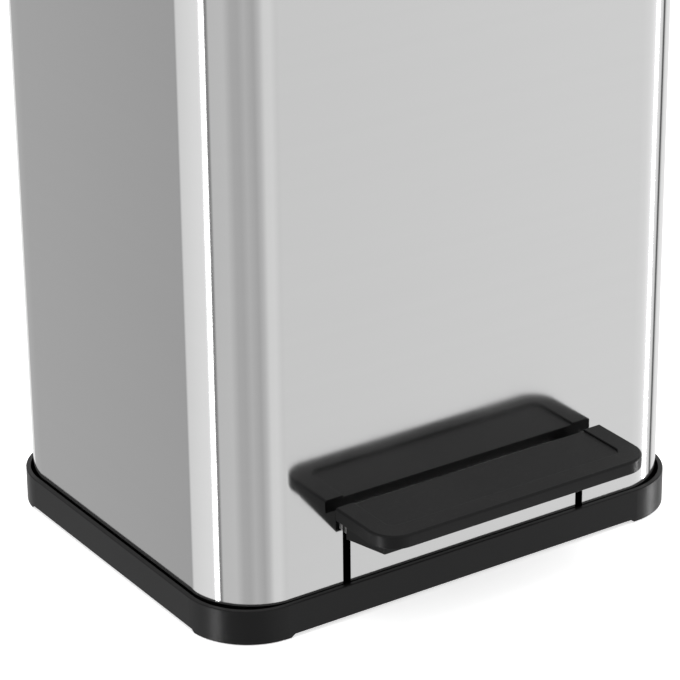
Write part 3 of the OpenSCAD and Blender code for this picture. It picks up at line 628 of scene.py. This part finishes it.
class PEDALBIN_OT_tread(Operator):
    """Foot tread with a soft front edge, a shallow recess, a skirt and the rails that hold the arms"""
    bl_idname = "pedalbin.tread"
    bl_label = "Pedal tread"

    RECESS_CORNER = 7 * MM  # radius of the recess's two front corners
    BRINK = 0.75 * MM  # rounding of the edge round the recess
    INSET = 10 * MM  # the recess starts further in from the plate's edges than this
    SKIRT_WALL = 2.5 * MM
    SEAT = 0.5 * MM  # how far the skirt runs into the plate
    RAIL_FLOOR = 0.6 * MM  # how much thinner a rail is under the arm than beside it
    CHANNEL_SHARE = 0.9  # height of an arm's channel, as a share of the height of the arm's sloping end

    def execute(self, context):
        plastic = context.scene.bin_plastic
        low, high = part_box("pedal_tread")
        bm = bmesh.new()
        plate_low = node_span("pedal_tread", lambda p: near(p.x, high.x))[0].z
        self.add_plate(bm, plastic, low, high, plate_low)
        self.add_skirt(bm, plastic, high, plate_low)
        tread = piece("foot_tread", bm, finishes()["tread_plastic"], "pedal_lever",
                      ["pedal_tread"])
        smooth(tread)
        return {"FINISHED"}

    def add_plate(self, bm, plastic, low, high, plate_low):
        """The plate that the foot presses, with rounded front corners and a recess."""
        radius = high.x - node_span("pedal_tread", lambda p: near(p.y, low.y))[1].x
        block(bm, (low.x, low.y, plate_low), high)
        round_edges(bm, lambda a, b, e: near(a.y, low.y) and near(b.y, low.y) and near(a.x, b.x), radius, 28)
        self.add_recess(bm, low, high)
        for level, size, steps in ((high.z, plastic.soft_edge, 6), (plate_low, plastic.edge, 2)):
            round_edges(bm, lambda a, b, e: near(a.z, level) and near(b.z, level)
                        and self.on_rim(a, b, low, high, radius), size, steps)

    def on_rim(self, a, b, low, high, radius):
        """True for outer edges at the sides, the corners and the front."""
        middle = (a + b) / 2
        if near(abs(middle.x), high.x) or near(middle.y, low.y):
            return True
        across, along = abs(middle.x) - (high.x - radius), low.y + radius - middle.y
        return across > 0 and along > 0 and math.hypot(across, along) > radius * 0.97

    def add_recess(self, bm, low, high):
        """A shallow recess, open at the back."""
        def well_inside(p):
            return abs(p.x) < high.x - self.INSET and p.y > low.y + self.INSET
        slack = 0.1 * MM
        deep = node_span("pedal_tread", lambda p: high.z - 3 * MM < p.z < high.z - slack
                         and well_inside(p))[0].z
        edge = node_span("pedal_tread", lambda p: near(p.z, deep) and well_inside(p))
        for x in (edge[0].x, edge[1].x):
            cut(bm, (x, 0, 0), (1, 0, 0))
        cut(bm, (0, edge[0].y, 0), (0, 1, 0))
        cut(bm, (0, 0, deep), (0, 0, 1))
        inside = faces_at(bm, lambda m, n: n.z > LEVEL and near(m.z, high.z) and edge[0].x < m.x < edge[1].x
                          and m.y > edge[0].y)
        bmesh.ops.translate(bm, verts=pull(bm, inside), vec=(0, 0, deep - high.z))
        open_side(bm, lambda m: near(m.y, high.y) and m.z > deep and edge[0].x < m.x < edge[1].x)
        round_edges(bm, lambda a, b, e: near(a.y, edge[0].y) and near(b.y, edge[0].y) and near(a.x, b.x)
                    and near(abs(a.x), edge[1].x) and min(a.z, b.z) > deep - WELD, self.RECESS_CORNER, 10)
        bmesh.ops.dissolve_limit(bm, angle_limit=math.radians(0.2), verts=bm.verts[:], edges=bm.edges[:])

        def brink(a, b, e):
            middle = (a + b) / 2
            flat = [f for f in e.link_faces if f.normal.z > LEVEL]
            return (near(a.z, high.z) and near(b.z, high.z) and len(flat) == 1
                    and abs(middle.x) < edge[1].x + slack and edge[0].y - slack < middle.y < high.y - slack)
        round_edges(bm, brink, self.BRINK, 4)

    def add_skirt(self, bm, plastic, high, plate_low):
        """Skirt and rails are one shell, pushed out hollow from below and behind."""
        part = bmesh.new()
        rails = node_span("pedal_tread", lambda p: p.z < high.z - 15 * MM)
        front, back, outer = rails[0].y, high.y, rails[1].x
        arm_low, arm_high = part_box("pedal_arm_right")
        rail = outer - arm_high.x
        inner_front = front + self.SKIRT_WALL
        drop_front = node_span("pedal_tread", lambda p: near(p.y, front) and p.z < plate_low)[0].z
        drop_back = node_span("pedal_tread", lambda p: near(p.y, back) and p.z < plate_low)[0].z
        for v in block(part, (-outer, front, drop_back), (outer, back, plate_low + self.SEAT)):
            if v.co.z < plate_low and near(v.co.y, front):
                v.co.z = drop_front
        hollow = arm_low.x - rail
        for x in (-hollow, hollow):
            cut(part, (x, 0, 0), (1, 0, 0))
        cut(part, (0, inner_front, 0), (0, 1, 0))
        cut(part, (0, 0, plate_low), (0, 0, 1))
        inside = faces_at(part, lambda m, n: n.z < -0.5 and abs(m.x) < hollow and m.y > inner_front)
        for v in pull(part, inside):
            v.co.z = plate_low
        open_side(part, lambda m: near(m.y, back) and m.z < plate_low and abs(m.x) < hollow)
        self.add_channels(part, front, back, drop_back + rail - self.RAIL_FLOOR,
                          (drop_front - drop_back) / (back - front))
        round_edges(part, lambda a, b, e: near(abs(a.x), outer) and near(abs(b.x), outer)
                    and not (near(a.y, back) and near(b.y, back)) and max(a.z, b.z) < plate_low + 0.6 * MM
                    and e.calc_face_angle(0) > 0.5, plastic.edge, 2)
        mesh = bpy.data.meshes.new("skirt")
        part.to_mesh(mesh)
        part.free()
        bm.from_mesh(mesh)
        bpy.data.meshes.remove(mesh)

    def add_channels(self, part, front, back, bottom, climb):
        """A channel for each arm, pushed in from the back; bottom is the height of its mouth's lower edge,
        and climb is how much it rises for each metre forward."""
        arm_low, arm_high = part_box("pedal_arm_right")
        end = node_span("pedal_arm_right", lambda p: p.y < front + 10 * MM)
        reach = back - end[0].y
        top = bottom + (end[1].z - end[0].z) * self.CHANNEL_SHARE
        for side in (-1, 1):
            for x in (arm_low.x, arm_high.x):
                cut(part, (side * x, 0, 0), (1, 0, 0))
        for z in (bottom, top):
            cut(part, (0, 0, z), (0, 0, 1))
        mouths = faces_at(part, lambda m, n: n.y > LEVEL and near(m.y, back)
                          and arm_low.x < abs(m.x) < arm_high.x and bottom < m.z < top)
        bmesh.ops.translate(part, verts=pull(part, mouths), vec=(0, -reach, climb * reach))


def islands(node):
    """Each separate solid of a CAD node, as (low corner, high corner, points)."""
    bm = bmesh.new()
    bm.from_mesh(frame["nodes"][node].data)
    bmesh.ops.remove_doubles(bm, verts=bm.verts[:], dist=0.001 * MM)
    left, found = set(bm.verts), []
    while left:
        group, edge = set(), {min(left, key=lambda v: v.index)}
        while edge:
            group |= edge
            edge = {e.other_vert(v) for v in edge for e in v.link_edges} - group
        left -= group
        points = [v.co.copy() for v in group]
        found.append((Vector(min(p[i] for p in points) for i in range(3)),
                      Vector(max(p[i] for p in points) for i in range(3)), points))
    bm.free()
    return sorted(found, key=lambda item: tuple(item[0]))


def turned(bm, profile, place, steps=24, socket=0.0):
    """Spins a profile of (radius, height) points, listed upwards, round Z, then moves it; the points at the
    radius socket become a hexagon."""
    old_verts, old_faces = set(bm.verts), set(bm.faces)
    verts = [bm.verts.new((r, 0, h)) for r, h in profile]
    edges = [bm.edges.new(pair) for pair in zip(verts, verts[1:])]
    bmesh.ops.spin(bm, geom=verts + edges, axis=(0, 0, 1), cent=(0, 0, 0), angle=2 * math.pi, steps=steps,
                   use_merge=True)
    shell = [v for v in bm.verts if v not in old_verts]
    half_side = math.pi / 6
    for v in shell:
        if socket and near(math.hypot(v.co.x, v.co.y), socket, 0.001 * MM):
            off_middle = math.atan2(v.co.y, v.co.x) % (2 * half_side) - half_side
            v.co.xy *= math.cos(half_side) / math.cos(off_middle)
    bmesh.ops.remove_doubles(bm, verts=shell, dist=0.002 * MM)
    shell = [v for v in shell if v.is_valid]
    bmesh.ops.recalc_face_normals(bm, faces=[f for f in bm.faces if f not in old_faces])
    bmesh.ops.transform(bm, matrix=place, verts=shell)


def aim(point, direction):
    """A matrix that puts local Z along a direction, from a point."""
    return Matrix.Translation(point) @ Vector(direction).to_track_quat("Z", "Y").to_matrix().to_4x4()


def arc(middle_r, middle_h, radius, start, end, steps):
    """Points of an arc in a profile, by angles in degrees."""
    return [(middle_r + radius * math.cos(math.radians(start + (end - start) * i / steps)),
             middle_h + radius * math.sin(math.radians(start + (end - start) * i / steps)))
            for i in range(steps + 1)]


def screw_profile(shank, head, head_h, shank_h):
    """Tip at height 0, thread rings, then a rounded head with a socket; returns points and socket radius."""
    pitch, depth, point = 0.9 * MM, 0.12 * MM, 0.6 * MM
    points = [(0, 0), (shank - point, 0), (shank - depth, point)]
    height = 2 * point
    while height < shank_h - 1.5 * MM:
        points += [(shank, height), (shank - depth, height + pitch / 2)]
        height += pitch
    socket, chamfer, top = head * 0.5, 0.15 * MM, shank_h + head_h
    soft = min(0.6 * MM, head_h * 0.4)
    points += [(shank, shank_h), (head, shank_h)]
    points += arc(head - soft, top - soft, soft, 0, 90, 4)
    points += [(socket + chamfer, top), (socket, top - chamfer), (socket, shank_h + head_h * 0.35),
               (0, shank_h + head_h * 0.25)]
    return points, socket


HEAD_EDGE = 0.98  # points beyond this share of a head's radius lie on its edge


class PEDALBIN_OT_screws(Operator):
    """Socket screws of the bearings, hinge housing, lid and tread"""
    bl_idname = "pedalbin.screws"
    bl_label = "Screws"

    # node: body that it rides on
    NODES = {"bearing_screws": "bin", "housing_screws": "bin", "lid_screws": "lid",
             "tread_screws": "pedal_lever"}

    def execute(self, context):
        for node, body in self.NODES.items():
            bm = bmesh.new()
            for low, high, points in islands(node):
                self.add_screw(bm, low, high, points)
            obj = piece(node + "_socket", bm, finishes()["fastener_steel"], body, [node])
            smooth(obj)
        return {"FINISHED"}

    def add_screw(self, bm, low, high, points):
        """A screw in the place of a solid: the head is the wide end, and the shank is what is left."""
        size = high - low
        axis = max(range(3), key=lambda i: size[i])
        across = (axis + 1) % 3
        middle = (low + high) / 2
        head = size[across] / 2
        wide = [p[axis] for p in points if abs(p[across] - middle[across]) > head * HEAD_EDGE]
        shank = max(abs(p[across] - middle[across]) for p in points
                    if not min(wide) - WELD < p[axis] < max(wide) + WELD)
        head_up = near(max(wide), high[axis])
        head_h = max(wide) - min(wide)
        direction = Vector((0, 0, 0))
        direction[axis] = 1 if head_up else -1
        start = middle.copy()
        start[axis] = low[axis] if head_up else high[axis]
        profile, socket = screw_profile(shank, head, head_h, size[axis] - head_h)
        turned(bm, profile, aim(start, direction), 24, socket)


class PEDALBIN_OT_rivets(Operator):
    """Domed rivets of the lever and the rear wall"""
    bl_idname = "pedalbin.rivets"
    bl_label = "Rivets"

    NODES = {"lever_rivets": "pedal_lever", "wall_rivets": "bin"}

    def execute(self, context):
        for node, body in self.NODES.items():
            bm = bmesh.new()
            for low, high, points in islands(node):
                self.add_rivet(bm, low, high, points)
            obj = piece(node + "_domed", bm, finishes()["fastener_steel"], body, [node])
            smooth(obj)
        return {"FINISHED"}

    def add_rivet(self, bm, low, high, points):
        """A rivet in the place of a solid: a dome at one end, and a dome or a low head at the other."""
        size = high - low
        axis = 1 if near(size.x, size.z) else 0
        middle = (low + high) / 2
        head = size.z / 2
        levels = sorted({round(p[axis], 6) for p in points if abs(p.z - middle.z) > head * HEAD_EDGE})
        shank = max(abs(p.z - middle.z) for p in points if abs(p.z - middle.z) < head * 0.9)
        start = middle.copy()
        start[axis] = low[axis]
        direction = Vector((0, 0, 0))
        direction[axis] = 1
        thick = levels[1] - levels[0]
        total = size[axis]

        def dome(base, rise):
            angles = [math.radians(15 * i) for i in range(7)]
            return [(head * math.cos(a), base + rise * math.sin(a)) for a in angles]
        profile = list(reversed(dome(thick, -thick))) + [(shank, thick)]
        if len(levels) > 2:
            profile += [(shank, total - thick)] + dome(total - thick, thick)
        else:
            sheet = total - 0.1 * MM  # the low head is seated in the sheet
            profile += [(shank, sheet)] + dome(sheet, thick / 2)
        profile[0] = (0, profile[0][1])
        profile[-1] = (0, profile[-1][1])
        turned(bm, profile, aim(start, direction), 24)


class PEDALBIN_OT_grip(Operator):
    """Ringed hand grip on the bucket's bail"""
    bl_idname = "pedalbin.grip"
    bl_label = "Bail grip"

    def execute(self, context):
        low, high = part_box("bail_grip")
        radius, width = (high.z - low.z) / 2, high.x - low.x
        rings, groove, chamfer, collar = 14, 0.7 * MM, 0.8 * MM, 2 * MM
        step = (width - 2 * collar) / rings
        profile = [(0, 0), (radius - chamfer, 0), (radius, chamfer), (radius, collar)]
        for ring in range(rings):
            base = collar + ring * step
            profile += [(radius - groove, base + step * 0.25), (radius - groove, base + step * 0.5),
                        (radius, base + step * 0.75), (radius, base + step)]
        profile += [(radius, width - chamfer), (radius - chamfer, width), (0, width)]
        bm = bmesh.new()
        turned(bm, profile, aim((low.x, (low.y + high.y) / 2, (low.z + high.z) / 2), (1, 0, 0)), 40)
        grip = piece("ringed_grip", bm, finishes()["black_plastic"], "bail_handle",
                     ["bail_grip"])
        smooth(grip, math.radians(50))
        return {"FINISHED"}


class PEDALBIN_OT_bucket(Operator):
    """Lift-out bucket with a turned rim, a tapered wall and a stepped floor"""
    bl_idname = "pedalbin.bucket"
    bl_label = "Bucket"

    WALL = 2.0 * MM
    FOOT_EDGE = 6 * MM  # rounding between wall and floor
    STEPS_IN = (14 * MM, 22 * MM)  # how far in each step of the floor starts, from the edge or the last step
    STEP_RUN = 2 * MM
    STEP_RISE = 1.5 * MM
    RIM_EDGE = 0.5 * MM  # softening of the turned rim

    def execute(self, context):
        low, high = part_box("bucket")
        rim_low = node_span("bucket", lambda p: near(p.x, high.x))[0].z
        body = node_span("bucket", lambda p: p.z < rim_low - 1 * MM)
        foot = node_span("bucket", lambda p: near(p.z, low.z))
        slack = 0.1 * MM
        band = node_span("bucket", lambda p: p.z < rim_low - 5 * MM and near(p.x, body[1].x, slack))[1].z
        flat = node_span("bucket", lambda p: near(p.y, body[0].y, slack) and p.z < rim_low)
        top = high.z - self.WALL
        bm = bmesh.new()
        wall_block(bm, Vector((body[0].x, body[0].y, band)), Vector((body[1].x, body[1].y, top)),
                   body[1].x - flat[1].x, 20)
        self.add_foot(bm, low, foot, body)
        bmesh.ops.delete(bm, geom=faces_at(bm, lambda m, n: n.z > LEVEL and near(m.z, top)), context="FACES")
        self.add_rim(bm, high.x - body[1].x - self.WALL, body)
        bucket = piece("bucket_shell", bm, finishes()["bucket_plastic"], "inner_bucket",
                       ["bucket"])
        sheet = bucket.modifiers.new("Wall", "SOLIDIFY")
        sheet.thickness = self.WALL
        sheet.offset = -1
        smooth(bucket, math.radians(35))
        return {"FINISHED"}

    def add_foot(self, bm, low, foot, body):
        """Tapers the wall down to the foot, rounds it there and steps the floor up twice."""
        middle = (body[0] + body[1]) / 2
        taper = (foot[1].x - foot[0].x) / (body[1].x - body[0].x)
        for v in pull(bm, faces_at(bm, lambda m, n: n.z < -LEVEL)):
            v.co.x = middle.x + (v.co.x - middle.x) * taper
            v.co.y = middle.y + (v.co.y - middle.y) * taper
            v.co.z = low.z
        round_edges(bm, lambda a, b, e: near(a.z, low.z) and near(b.z, low.z), self.FOOT_EDGE, 5)
        floor = faces_at(bm, lambda m, n: n.z < -LEVEL and near(m.z, low.z))
        for inward in self.STEPS_IN:
            bmesh.ops.inset_region(bm, faces=floor, thickness=inward, depth=0)
            bmesh.ops.inset_region(bm, faces=floor, thickness=self.STEP_RUN, depth=-self.STEP_RISE)
            floor = faces_at(bm, lambda m, n: n.z < -LEVEL and near(m.x, middle.x, 1 * MM)
                             and near(m.y, middle.y, 1 * MM))

    def add_rim(self, bm, out, body):
        """Turns the open top outwards by out, and down."""
        middle = (body[0] + body[1]) / 2
        half = (body[1] - body[0]) / 2
        soft = self.RIM_EDGE
        for reach, drop in ((out - soft, 0), (soft, soft), (0, soft)):
            edge = [e for e in bm.edges if len(e.link_faces) == 1]
            for v in new_verts(bmesh.ops.extrude_edge_only(bm, edges=edge)):
                v.co.x += reach * (v.co.x - middle.x) / half.x
                v.co.y += reach * (v.co.y - middle.y) / half.y
                v.co.z -= drop


class PEDALBIN_OT_base_ribs(Operator):
    """Stiffening ribs under the base's floor"""
    bl_idname = "pedalbin.base_ribs"
    bl_label = "Base ribs"

    DEPTH = 1.6 * MM
    HALF_THICK = 0.9 * MM
    SEAT = 0.5 * MM  # how far the ribs run into the floor
    MARGIN = 52 * MM  # from the base's edge to the field that the ribs divide evenly
    OVERRUN = 30 * MM  # how far each rib runs on past that field
    FLOOR_RISE = 2.5 * MM  # the base's floor lies more than this above its lowest edge

    def execute(self, context):
        low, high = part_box("base_tray")
        under = node_span("base_tray", lambda p: p.z > low.z + self.FLOOR_RISE)[0].z
        bottom = under - self.DEPTH
        middle = (low + high) / 2
        half = (high - low) / 2
        bm = bmesh.new()
        for axis, count in ((0, 7), (1, 5)):
            along = 1 - axis
            for i in range(count):
                place = middle[axis] + (2 * i + 1 - count) * (half[axis] - self.MARGIN) / count
                run = half[along] - self.MARGIN + self.OVERRUN
                start, end = middle.copy(), middle.copy()
                start[axis], end[axis] = place - self.HALF_THICK, place + self.HALF_THICK
                start[along], end[along] = middle[along] - run, middle[along] + run
                start.z, end.z = bottom, under + self.SEAT
                block(bm, start, end)
        round_edges(bm, lambda a, b, e: near(a.z, bottom) and near(b.z, bottom), 0.3 * MM, 2)
        ribs = piece("base_ribs", bm, finishes()["black_plastic"], "bin")
        smooth(ribs)
        return {"FINISHED"}


_finishes = {}


def finishes():
    """Every finish of the bin, made once and kept by its slot's name."""
    if not _finishes:
        scene = bpy.context.scene
        steel, plastic = scene.bin_steel, scene.bin_plastic
        _finishes.update({
            "body_steel": brushed_steel("Brushed sleeve", steel, SLEEVE_GRAIN),
            "lid_steel": brushed_steel("Brushed lid", steel, LID_GRAIN),
            "black_plastic": moulded_plastic("Black moulding", plastic.black, plastic.grain, 0.38,
                                             depth=0.15, sheen=0.19),
            "tread_plastic": tread_plastic(plastic),
            "lever_steel": plated_steel("Plated bar", (0.7, 0.7, 0.7), 0.5),
            "fastener_steel": plated_steel("Plated fastener", (0.62, 0.62, 0.64), 0.3),
            "rubber": moulded_plastic("Black rubber", (0.012, 0.012, 0.012), 0.8 * MM, 0.75, depth=0.4),
            "nylon": moulded_plastic("Natural nylon", (0.72, 0.7, 0.63), 1.2 * MM, 0.45, depth=0.1),
            "damper_grey": moulded_plastic("Damper grey", (0.16, 0.165, 0.17), 0.7 * MM, 0.4),
            "bucket_plastic": moulded_plastic("Bucket grey", plastic.bucket, 0.9 * MM, 0.4),
        })
    return _finishes


class PEDALBIN_OT_carried(Operator):
    """Finishes for the nodes that keep their own shape"""
    bl_idname = "pedalbin.carried"
    bl_label = "Carried nodes"

    def execute(self, context):
        slots = {row["node"]: row["material_slot"] for row in frame["record"]["subparts"]}
        for name, node in frame["nodes"].items():
            node.data.materials.clear()
            node.data.materials.append(finishes()[slots[name]])
        return {"FINISHED"}


class PEDALBIN_PT_panel(Panel):
    """A button for each operator"""
    bl_label = "Pedal Bin"
    bl_idname = "PEDALBIN_PT_panel"
    bl_space_type = "VIEW_3D"
    bl_region_type = "UI"
    bl_category = "Pedal Bin"

    def draw(self, context):
        for operator in OPERATORS:
            self.layout.operator(operator.bl_idname)


OPERATORS = (PEDALBIN_OT_stage, PEDALBIN_OT_carried, PEDALBIN_OT_sleeve, PEDALBIN_OT_tread,
             PEDALBIN_OT_screws, PEDALBIN_OT_rivets, PEDALBIN_OT_grip, PEDALBIN_OT_bucket,
             PEDALBIN_OT_base_ribs)
CLASSES = (*SETTINGS.values(), *OPERATORS, PEDALBIN_PT_panel)


def register():
    for each in CLASSES:
        bpy.utils.register_class(each)
    for name, group in SETTINGS.items():
        setattr(bpy.types.Scene, name, PointerProperty(type=group))


def unregister():
    for name in SETTINGS:
        delattr(bpy.types.Scene, name)
    for each in reversed(CLASSES):
        bpy.utils.unregister_class(each)


def main():
    register()
    for operator in OPERATORS:
        group, call = operator.bl_idname.split(".")
        getattr(getattr(bpy.ops, group), call)()


if __name__ == "__main__":
    main()
